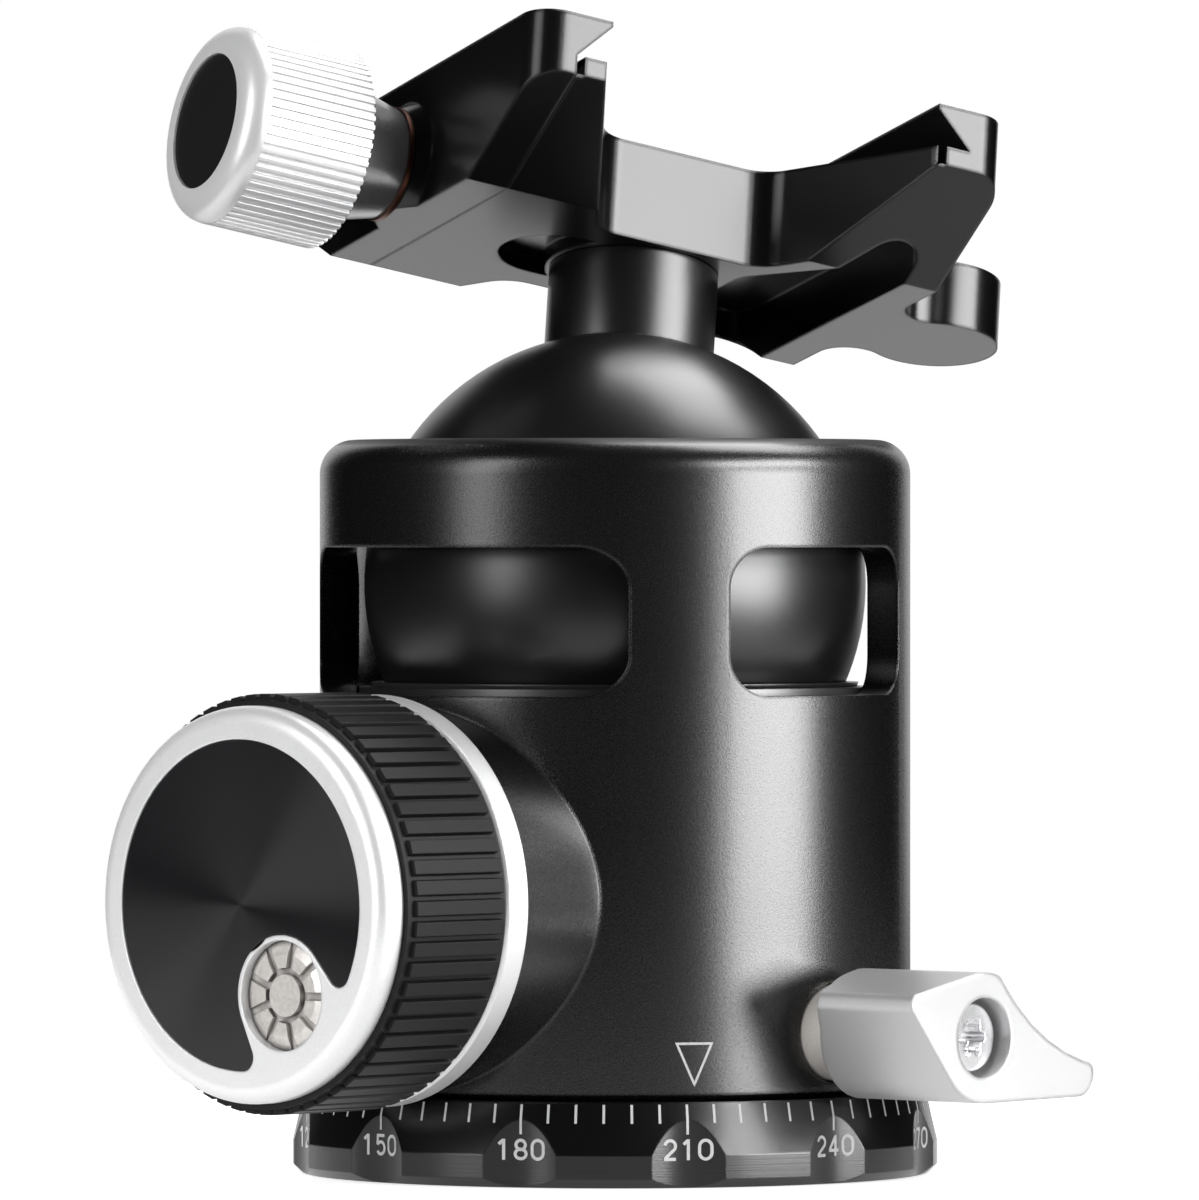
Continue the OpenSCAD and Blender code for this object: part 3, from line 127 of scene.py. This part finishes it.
def make_material(
    name,
    color,
    spread=0.12,
    metallic=0.0,
    roughness=0.4,
    specular=0.5,
    grain=0.15,
    grain_height=0.004,
    edge=0.2,
    anisotropic=0.0,
    tangent_axis=None,
    rings=None,
    streaks=None,
    transmission=0.0,
    coat=0.0,
    groove_shade=0.0,
    blasted=None,
):
    """A surface with a fine grain, small changes of colour and gloss, and softly lit edges.

    Sizes are in mm: grain is the grain's size, grain_height its depth, edge the radius of edges.
    rings is (axis, centre, pitch, depth) of turning marks; streaks is (scales, depth) of brushing.
    groove_shade is the reach of the painted shade that darkens the colour in grooves.
    blasted is the direction of the flat faces that have a duller, blasted finish.
    """
    material = bpy.data.materials.new(name)
    tree = empty_tree(material)
    coordinates = add_node(tree, "ShaderNodeTexCoord").outputs
    where = coordinates["Object"]
    slow = noise(tree, {"Vector": where, "Scale": SLOW_SCALE}, BASIC_DETAIL)
    fine_inputs = {"Vector": where, "Scale": 1 / (grain * MM), "Roughness": FINE_ROUGHNESS}
    fine = noise(tree, fine_inputs, FINE_DETAIL)
    slow_part = maths(tree, "MULTIPLY", slow, 1 - FINE_SHARE)
    blend = maths(tree, "MULTIPLY_ADD", fine, FINE_SHARE, slow_part)

    tone = add_node(tree, "ShaderNodeValToRGB", {0: blend})
    low, high = tone.color_ramp.elements
    low.position, high.position = NOISE_RANGE
    low.color = [c * (1 - spread) for c in color] + [1]
    high.color = [min(1.0, c * (1 + spread)) for c in color] + [1]
    rough_range = (roughness - ROUGH_SPREAD, roughness + ROUGH_SPREAD)
    rough = remap(tree, blend, NOISE_RANGE, rough_range)
    if blasted:
        facing = vector_maths(tree, "DOT_PRODUCT", coordinates["Normal"], blasted)
        extra = remap(tree, facing.outputs["Value"], BLASTED_FACING, (0.0, BLASTED_EXTRA))
        rough = maths(tree, "ADD", rough, extra)

    height = fine
    if rings:
        axis, centre, pitch, depth = rings
        marks = ring_marks(tree, where, axis, centre, pitch)
        height = maths(tree, "MULTIPLY_ADD", marks, depth / grain_height, height)
    if streaks:
        scales, depth = streaks
        marks = streak_marks(tree, where, scales)
        height = maths(tree, "MULTIPLY_ADD", marks, depth / grain_height, height)
    bump_inputs = {"Strength": 1.0, "Distance": grain_height * MM, "Height": height}
    if edge:
        bevel = add_node(tree, "ShaderNodeBevel", {"Radius": edge * MM}, samples=BEVEL_SAMPLES)
        bump_inputs["Normal"] = bevel.outputs[0]
    bump = add_node(tree, "ShaderNodeBump", bump_inputs).outputs[0]

    surface_color = tone.outputs[0]
    # Painted shade: ambient occlusion darkens the colour in grooves and recesses, where shade falls
    if groove_shade:
        reach = {"Distance": groove_shade * MM}
        sky = add_node(tree, "ShaderNodeAmbientOcclusion", reach, samples=GROOVE_SHADE_SAMPLES)
        shade = remap(tree, sky.outputs["AO"], GROOVE_SHADE_OPEN, GROOVE_SHADE_TONE)
        scaled = {0: surface_color, "Scale": shade}
        surface_color = add_node(
            tree, "ShaderNodeVectorMath", scaled, operation="SCALE"
        ).outputs[0]

    inputs = {
        "Base Color": surface_color,
        "Roughness": rough,
        "Normal": bump,
        "Metallic": metallic,
        "IOR": IOR,
        "Specular IOR Level": specular,
        "Anisotropic": anisotropic,
        "Anisotropic Rotation": STRETCH_TURN,
        "Transmission Weight": transmission,
        "Coat Weight": coat,
        "Coat Roughness": COAT_ROUGHNESS,
    }
    if tangent_axis:
        tangent = add_node(tree, "ShaderNodeTangent", direction_type="RADIAL", axis=tangent_axis)
        inputs["Tangent"] = tangent.outputs[0]
    shader = add_node(tree, "ShaderNodeBsdfPrincipled", inputs)
    add_node(tree, "ShaderNodeOutputMaterial", {0: shader.outputs[0]})
    return material


BLACK = (0.0045, 0.0045, 0.005)
# A point on the main knob's axis, in mm
KNOB_AXIS = (0, 0, 24.4)

housing_black = make_material(
    "housing_black", BLACK, spread=0.3, roughness=0.27, grain=0.16, grain_height=0.009,
    edge=0.45, blasted=(0, 0, 1),
)
base_black = make_material(
    "base_black", BLACK, spread=0.25, roughness=0.24, grain=0.2, grain_height=0.002, edge=0.2,
    streaks=((60, 60, 9000), 0.003), specular=0.44,
)
ball_black = make_material(
    "ball_black", BLACK, spread=0.25, roughness=0.32, grain=0.13, grain_height=0.007, edge=0.2
)
cup_black = make_material(
    "cup_black", (0.01, 0.01, 0.011), roughness=0.35, specular=0.8, grain_height=0.003
)
clamp_black = make_material(
    "clamp_black", BLACK, spread=0.25, roughness=0.22, grain=0.13, grain_height=0.003, edge=0.45,
    specular=0.33, blasted=(0.27, 0.17, 0.95),
)
silver_satin = make_material(
    "silver_satin", (0.88, 0.88, 0.885), spread=0.06, metallic=0.42, roughness=0.38,
    grain=0.14, grain_height=0.01, edge=0.3,
)
lever_silver = make_material(
    "lever_silver", (0.57, 0.57, 0.575), spread=0.05, metallic=0.5, roughness=0.36,
    grain=0.12, grain_height=0.008, edge=0.5,
)
knob_silver = make_material(
    "knob_silver", (0.74, 0.74, 0.745), spread=0.05, metallic=0.3, roughness=0.36,
    grain=0.12, grain_height=0.006, edge=0.15,
)
bare_aluminium = make_material(
    "bare_aluminium", (0.6, 0.6, 0.61), spread=0.06, metallic=0.9, roughness=0.35,
    rings=("Z", (0, 0, 0), 0.15, 0.004),
)
neck_grey = make_material(
    "neck_grey", (0.3, 0.3, 0.305), metallic=0.75, roughness=0.26, grain=0.1, grain_height=0.003
)
spun_black = make_material(
    "spun_black", (0.005, 0.005, 0.006), spread=0.2, roughness=0.25, specular=0.8, grain=0.12,
    grain_height=0.001, anisotropic=0.92, tangent_axis="X",
    rings=("X", KNOB_AXIS, 0.1, 0.0025), edge=0.1,
)
cap_black = make_material(
    "cap_black", (0.011, 0.011, 0.012), roughness=0.4, specular=0.25, grain_height=0.004
)
# The dial's colour carries painted shade in its grooves
dial_grey = make_material(
    "dial_grey", (0.68, 0.65, 0.62), spread=0.14, metallic=0.4, roughness=0.36,
    grain=0.4, grain_height=0.03, edge=0.12, groove_shade=0.7,
)
rubber = make_material(
    "grip_rubber", (0.012, 0.012, 0.013), spread=0.25, roughness=0.45, specular=0.15,
    grain=0.16, grain_height=0.012, edge=0.14,
)
stainless = make_material(
    "stainless", (0.62, 0.58, 0.54), metallic=0.95, roughness=0.28,
    streaks=((200, 9000, 200), 0.004), grain=0.1, grain_height=0.003,
)
collar_steel = make_material(
    "collar_steel", (0.84, 0.79, 0.74), metallic=0.45, roughness=0.3,
    streaks=((200, 9000, 200), 0.004), grain=0.1, grain_height=0.003,
)
bright_steel = make_material(
    "bright_steel", (0.78, 0.78, 0.79), spread=0.06, metallic=1.0, roughness=0.24,
    grain=0.2, grain_height=0.003,
)
steel = make_material(
    "steel", (0.5, 0.5, 0.52), metallic=1.0, roughness=0.3, grain_height=0.003
)
dark_steel = make_material(
    "dark_steel", (0.12, 0.12, 0.125), metallic=0.9, roughness=0.35, grain_height=0.003
)
brass = make_material(
    "brass", (0.68, 0.5, 0.24), metallic=1.0, roughness=0.3, grain_height=0.003
)
bronze = make_material(
    "bronze", (0.085, 0.034, 0.022), metallic=0.9, roughness=0.36, grain_height=0.003
)
white_polymer = make_material(
    "white_polymer", (0.8, 0.8, 0.77), spread=0.04, roughness=0.45, grain_height=0.003
)
liner_polymer = make_material(
    "liner_polymer", (0.02, 0.02, 0.022), roughness=0.3, specular=0.6, grain_height=0.002
)
level_green = make_material(
    "level_green", (0.38, 0.56, 0.06), spread=0.08, roughness=0.3, coat=0.5
)
level_clear = make_material(
    "level_clear", (0.8, 0.95, 0.55), spread=0.03, roughness=0.06, transmission=0.85,
    grain=0.5, grain_height=0.0005, edge=0,
)
print_white = make_material(
    "print_white", (0.8, 0.8, 0.79), spread=0.06, roughness=0.5, grain_height=0.002, edge=0
)

LOOKS = {
    base_black: ["scale_ring"],
    housing_black: ["housing_shell"],
    ball_black: ["ball_and_stem"],
    cup_black: ["ball_cup"],
    liner_polymer: ["cup_liner"],
    clamp_black: ["clamp_body", "moving_jaw"],
    silver_satin: ["main_knob_core"],
    lever_silver: ["pan_lever"],
    knob_silver: ["clamp_knob"],
    cap_black: ["clamp_knob_cap"],
    neck_grey: ["clamp_neck"],
    bronze: ["clamp_washer"],
    rubber: ["knob_grip"],
    spun_black: ["knob_face"],
    dial_grey: ["friction_dial"],
    stainless: ["pan_spindle"],
    collar_steel: ["pan_collar"],
    bright_steel: ["lever_screw"],
    steel: [
        "base_screws",
        "lock_screw",
        "lock_wedge",
        "jaw_springs",
        "guide_pins",
        "clamp_screw",
        "pan_stud",
    ],
    dark_steel: ["spindle_clip", "knob_bolt", "dial_clip", "clamp_bolt"],
    brass: ["spindle_washer", "knob_bush", "pan_pad"],
    bare_aluminium: ["bearing_block"],
    white_polymer: ["glide_washer"],
    level_green: ["level_cup"],
    level_clear: ["level_lens"],
}
for material, names in LOOKS.items():
    for node_name in names:
        mesh = nodes[node_name].data
        mesh.materials.clear()
        mesh.materials.append(material)

# ---------------------------------------------------------------- printed marks

# Where the rays start, from the vertical axis; how far the print stands off its surface;
# the longest step of a stroke; and how much a bend may widen a stroke
CAST_REACH = 45 * MM
PRINT_LIFT = 0.018 * MM
PATH_STEP = 0.2 * MM
SHARPEST_BEND = 0.5


class Surface:
    """Finds the outer surface of a CAD node along a ray towards the vertical axis."""

    def __init__(self, node_name):
        mesh = nodes[node_name].data
        mesh.calc_loop_triangles()
        points = [v.co.copy() for v in mesh.vertices]
        triangles = [tuple(t.vertices) for t in mesh.loop_triangles]
        self.tree = BVHTree.FromPolygons(points, triangles)

    def at(self, angle, z):
        out = Vector((math.cos(angle), math.sin(angle), 0))
        hit = self.tree.ray_cast(out * CAST_REACH + Vector((0, 0, z)), -out)[0]
        return hit + out * PRINT_LIFT

    def radius(self, angle, z):
        return math.hypot(*self.at(angle, z)[:2])


class Print:
    """Marks of one colour on one surface, made into one piece."""

    def __init__(self, node_name):
        self.surface = Surface(node_name)
        self.points = []
        self.faces = []

    def line(self, angle, z, path, width, closed=False):
        """A line along a path of (across, up) points from a place on the surface."""
        radius = self.surface.radius(angle, z)
        path = dense(path, closed)
        count = len(path)
        start = len(self.points)
        for i, (x, y) in enumerate(path):
            sides = []
            if closed or i:
                sides.append(Vector((x - path[i - 1][0], y - path[i - 1][1])).normalized())
            if closed or i < count - 1:
                after = path[(i + 1) % count]
                sides.append(Vector((after[0] - x, after[1] - y)).normalized())
            heading = (sides[0] + sides[-1]).normalized()
            reach = width / 2 / max(SHARPEST_BEND, heading.dot(sides[0]))
            for sign in (1, -1):
                across, up = x - heading.y * reach * sign, y + heading.x * reach * sign
                self.points.append(self.surface.at(angle + across / radius, z + up))
        for i in range(count if closed else count - 1):
            a, b = start + 2 * i, start + 2 * ((i + 1) % count)
            self.faces.append((a, a + 1, b + 1, b))

    def make(self, name, material, body):
        mesh = bpy.data.meshes.new(name)
        mesh.from_pydata(self.points, [], self.faces)
        mesh.update()
        mesh.materials.append(material)
        obj = bpy.data.objects.new(name, mesh)
        bpy.context.scene.collection.objects.link(obj)
        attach(obj, body)


def dense(path, closed):
    """The same path with a point at least every PATH_STEP."""
    ends = path[1:] + path[:1] if closed else path[1:]
    points = []
    for (x0, y0), (x1, y1) in zip(path, ends):
        dx, dy = x1 - x0, y1 - y0
        parts = max(1, math.ceil(math.hypot(dx, dy) / PATH_STEP))
        points += [(x0 + dx * i / parts, y0 + dy * i / parts) for i in range(parts)]
    return points if closed else points + [path[-1]]


ARC_STEPS = 14


def arc(cx, cy, rx, ry, start, end):
    """Points of an elliptical arc between two angles in degrees."""
    span = end - start
    turns = [math.radians(start + span * i / ARC_STEPS) for i in range(ARC_STEPS + 1)]
    return [(cx + rx * math.cos(t), cy + ry * math.sin(t)) for t in turns]


# Strokes of each digit in a cell 1 wide, centred, and 1 high; True marks a closed stroke
GLYPHS = {
    "0": [(arc(0, 0.66, 0.5, 0.34, 0, 180) + arc(0, 0.34, 0.5, 0.34, 180, 360), True)],
    "1": [([(-0.34, 0.78), (0.02, 1)], False), ([(0.06, 1.06), (0.06, -0.06)], False)],
    "2": [
        (arc(0, 0.7, 0.46, 0.3, 170, -35) + [(-0.44, 0.04)], False),
        ([(-0.52, 0), (0.5, 0)], False),
    ],
    "3": [(arc(-0.02, 0.75, 0.42, 0.25, 155, -90) + arc(-0.02, 0.26, 0.48, 0.26, 82, -155), False)],
    "4": [
        ([(0.2, -0.06), (0.2, 1.06)], False),
        ([(0.2, 1), (-0.48, 0.27)], False),
        ([(-0.56, 0.25), (0.54, 0.25)], False),
    ],
    "5": [
        ([(0.46, 1), (-0.44, 1)], False),
        ([(-0.36, 1.04), (-0.4, 0.5)], False),
        (arc(0, 0.33, 0.47, 0.33, 148, -150), False),
    ],
    "6": [
        (arc(0, 0.32, 0.48, 0.32, 0, 352), True),
        ([(-0.47, 0.36), (-0.41, 0.6), (-0.2, 0.85), (0.14, 1.02)], False),
    ],
    "7": [([(-0.52, 1), (0.52, 1)], False), ([(0.45, 1), (-0.12, -0.06)], False)],
    "8": [(arc(0, 0.745, 0.41, 0.25, 0, 352), True), (arc(0, 0.26, 0.48, 0.26, 0, 352), True)],
    "9": [
        (arc(0, 0.68, 0.48, 0.32, 0, 352), True),
        ([(0.47, 0.64), (0.41, 0.4), (0.2, 0.15), (-0.14, -0.02)], False),
    ],
}
DIGIT_WIDTH = 1.03 * MM
DIGIT_HEIGHT = 1.6 * MM
DIGIT_PITCH = 1.55 * MM
DIGIT_STROKE = 0.27 * MM
DIGIT_LOW = 2.47 * MM

# Heading of the scale's zero in degrees, which puts its 210 under the index
SCALE_ZERO = -124.5 - 210
TICK_STEP = 5
NUMERAL_STEP = 30
TICK_TOP = 7.12 * MM
TICK_LENGTH = 1.6 * MM
LONG_TICK = 2.55 * MM
TICK_WIDTH = 0.22 * MM

scale = Print("scale_ring")
for degrees in range(0, 360, TICK_STEP):
    angle = math.radians(SCALE_ZERO + degrees)
    numbered = degrees % NUMERAL_STEP == 0
    tick = LONG_TICK if numbered else TICK_LENGTH
    scale.line(angle, TICK_TOP, [(0, 0), (0, -tick)], TICK_WIDTH)
    if numbered:
        text = str(degrees)
        for place, digit in enumerate(text):
            shift = (place - (len(text) - 1) / 2) * DIGIT_PITCH
            for stroke, closed in GLYPHS[digit]:
                path = [(shift + x * DIGIT_WIDTH, y * DIGIT_HEIGHT) for x, y in stroke]
                scale.line(angle, DIGIT_LOW, path, DIGIT_STROKE, closed)
scale.make("scale_print", print_white, "base")

# The index triangle, point down, above the ring
INDEX_ANGLE = math.radians(-122.3)
INDEX_APEX = 8.75 * MM
INDEX_HEIGHT = 3.5 * MM
INDEX_HALF = 1.55 * MM
INDEX_WIDTH = 0.21 * MM
index = Print("housing_shell")
triangle = [(0, 0), (INDEX_HALF, INDEX_HEIGHT), (-INDEX_HALF, INDEX_HEIGHT)]
index.line(INDEX_ANGLE, INDEX_APEX, triangle, INDEX_WIDTH, closed=True)
index.make("index_print", print_white, "housing")

# ---------------------------------------------------------------- camera

CAMERA_AZIMUTH = math.radians(-47.5)
CAMERA_REACH = 1.009
CAMERA_HEIGHT = 0.0562
SENSOR = 36.0
LENS = 345.0
# Shift of the picture, in shares of its side
SHIFT = (-15.5 / 1200, -70.0 / 1200)
CLIP = (0.05, 20.0)
toward = Vector((math.sin(CAMERA_AZIMUTH), -math.cos(CAMERA_AZIMUTH), 0))
right = Vector((-toward.y, toward.x, 0))

camera = bpy.data.objects.new("camera", bpy.data.cameras.new("camera"))
bpy.context.scene.collection.objects.link(camera)
camera.location = toward * CAMERA_REACH + Vector((0, 0, CAMERA_HEIGHT))
camera.rotation_euler = (-toward).to_track_quat("-Z", "Y").to_euler()
camera.data.sensor_width = SENSOR
camera.data.lens = LENS
camera.data.shift_x, camera.data.shift_y = SHIFT
camera.data.clip_start, camera.data.clip_end = CLIP
bpy.context.scene.camera = camera

# ---------------------------------------------------------------- studio

AIM = Vector((0, 0, 0.05))


def studio_direction(azimuth, elevation):
    """A direction from its angle to the camera's right and its height, in degrees."""
    a, e = math.radians(azimuth), math.radians(elevation)
    level = toward * math.cos(a) + right * math.sin(a)
    return level * math.cos(e) + Vector((0, 0, math.sin(e)))


def soft_box(name, azimuth, elevation, reach, width, height, radiance, diffuse=True, glossy=True):
    """An area lamp of an even radiance, aimed at the object."""
    lamp = bpy.data.lights.new(name, "AREA")
    lamp.shape = "RECTANGLE"
    lamp.size, lamp.size_y = width, height
    lamp.energy = radiance * math.pi * width * height
    obj = bpy.data.objects.new(name, lamp)
    bpy.context.scene.collection.objects.link(obj)
    direction = studio_direction(azimuth, elevation)
    obj.location = AIM + direction * reach
    obj.rotation_euler = (-direction).to_track_quat("-Z", "Y").to_euler()
    obj.visible_diffuse = diffuse
    obj.visible_glossy = glossy


# The strips, the panel and the top box draw the streaks of gloss; the fills light the colours.
# The numbers are azimuth, elevation, reach, width, height and radiance.
soft_box("right_strip", 61.5, 2, 0.75, 0.5, 0.24, 24.0, diffuse=False)
soft_box("right_panel", 63, 26, 0.75, 0.58, 0.22, 23.0, diffuse=False)
soft_box("right_fill", 61.5, 22, 0.75, 0.5, 0.62, 2.4, glossy=False)
soft_box("left_strip", -53, 18, 0.75, 0.24, 0.6, 7.0, diffuse=False)
soft_box("left_fill", -53, 18, 0.75, 0.24, 0.6, 8.8, glossy=False)
soft_box("top_box", 130, 62, 0.7, 0.5, 0.36, 10.0, diffuse=False)


def stage_mesh(name, points, faces, tree_maker):
    mesh = bpy.data.meshes.new(name)
    mesh.from_pydata(points, [], faces)
    mesh.update()
    material = bpy.data.materials.new(name)
    tree_maker(empty_tree(material))
    mesh.materials.append(material)
    obj = bpy.data.objects.new(name, mesh)
    bpy.context.scene.collection.objects.link(obj)
    return obj


def background_share(tree):
    """1 where a ray from the camera, a gloss or a clear part looks at the background."""
    rays = add_node(tree, "ShaderNodeLightPath").outputs
    first = maths(tree, "MAXIMUM", rays["Is Camera Ray"], rays["Is Glossy Ray"])
    return maths(tree, "MAXIMUM", first, rays["Is Transmission Ray"])


FLOOR_REACH = 0.17
FLOOR_SIDES = 96
FLOOR_Z = -0.05 * MM
FLOOR_COLOR = (0.8, 0.8, 0.8, 1)
# The floor's glow near the object, and the distances between which it grows to 1
GLOW_NEAR = 0.72
GLOW_REACH = (0.06, 0.15)
CARD_COLOR = (0.01, 0.01, 0.01, 1)
GREY_LEVEL = 0.3


def floor_tree(tree):
    """White, with a glow that grows to full white at the floor's edge."""
    matt = add_node(tree, "ShaderNodeBsdfDiffuse", {"Color": FLOOR_COLOR})
    where = add_node(tree, "ShaderNodeTexCoord").outputs["Object"]
    distance = vector_maths(tree, "LENGTH", where).outputs["Value"]
    glow = remap(tree, distance, GLOW_REACH, (GLOW_NEAR, 1.0))
    strength = maths(tree, "MULTIPLY", background_share(tree), glow)
    light = add_node(tree, "ShaderNodeEmission", {"Strength": strength})
    both = add_node(tree, "ShaderNodeAddShader", {0: matt.outputs[0], 1: light.outputs[0]})
    add_node(tree, "ShaderNodeOutputMaterial", {0: both.outputs[0]})


def card_tree(tree):
    black = add_node(tree, "ShaderNodeBsdfDiffuse", {"Color": CARD_COLOR})
    add_node(tree, "ShaderNodeOutputMaterial", {0: black.outputs[0]})


def grey_tree(tree):
    light = add_node(tree, "ShaderNodeEmission", {"Strength": GREY_LEVEL})
    add_node(tree, "ShaderNodeOutputMaterial", {0: light.outputs[0]})


turns = [2 * math.pi * i / FLOOR_SIDES for i in range(FLOOR_SIDES)]
circle = [(math.cos(t), math.sin(t)) for t in turns]


def stage_disc(name, reach, z, tree_maker):
    points = [(x * reach, y * reach, z) for x, y in circle]
    return stage_mesh(name, points, [list(range(FLOOR_SIDES))], tree_maker)


stage_disc("floor", FLOOR_REACH, FLOOR_Z, floor_tree)

# Cards that show only in gloss and in clear parts; CARD_OPEN is half the opening behind the
# object, in degrees
CARD_REACH = 1.35
CARD_OPEN = 28
CARD_LOW = -0.8
CARD_HIGH = 1.4
CARD_STEPS = 40
GREY_TOP = -0.02


def curved_card(name, middle, half, top, tree_maker):
    """An upright card round the object, this many degrees either side of its middle."""
    points, faces = [], []
    for i in range(CARD_STEPS + 1):
        azimuth = middle + half * (2 * i / CARD_STEPS - 1)
        d = studio_direction(azimuth, 0) * CARD_REACH
        points += [(d.x, d.y, CARD_LOW), (d.x, d.y, top)]
        if i:
            faces.append((2 * i - 2, 2 * i, 2 * i + 1, 2 * i - 1))
    return stage_mesh(name, points, faces, tree_maker)


# Black round and over the object keeps the black metal's gloss dark; grey behind and below
# the horizon keeps the undersides' gloss down
walls = curved_card("card_walls", 0, 180 - CARD_OPEN, CARD_HIGH, card_tree)
ceiling = stage_disc("card_ceiling", CARD_REACH, CARD_HIGH, card_tree)
grey = curved_card("card_grey", 180, CARD_OPEN, GREY_TOP, grey_tree)
for card in (walls, ceiling, grey):
    card.visible_camera = False
    card.visible_diffuse = False
    card.visible_shadow = False

# A grey world lights the matt colours; the camera, gloss and clear parts see a white one
WORLD_FILL = 0.34
WHITE = (1, 1, 1, 1)
world = bpy.data.worlds.new("studio")
bpy.context.scene.world = world
world_tree = empty_tree(world)
fill = add_node(world_tree, "ShaderNodeBackground", {"Color": WHITE, "Strength": WORLD_FILL})
white = add_node(world_tree, "ShaderNodeBackground", {"Color": WHITE, "Strength": 1.0})
parts = {0: background_share(world_tree), 1: fill.outputs[0], 2: white.outputs[0]}
mix = add_node(world_tree, "ShaderNodeMixShader", parts)
add_node(world_tree, "ShaderNodeOutputWorld", {0: mix.outputs[0]})
world.cycles.sampling_method = "NONE"

bpy.context.scene.view_settings.view_transform = "Standard"
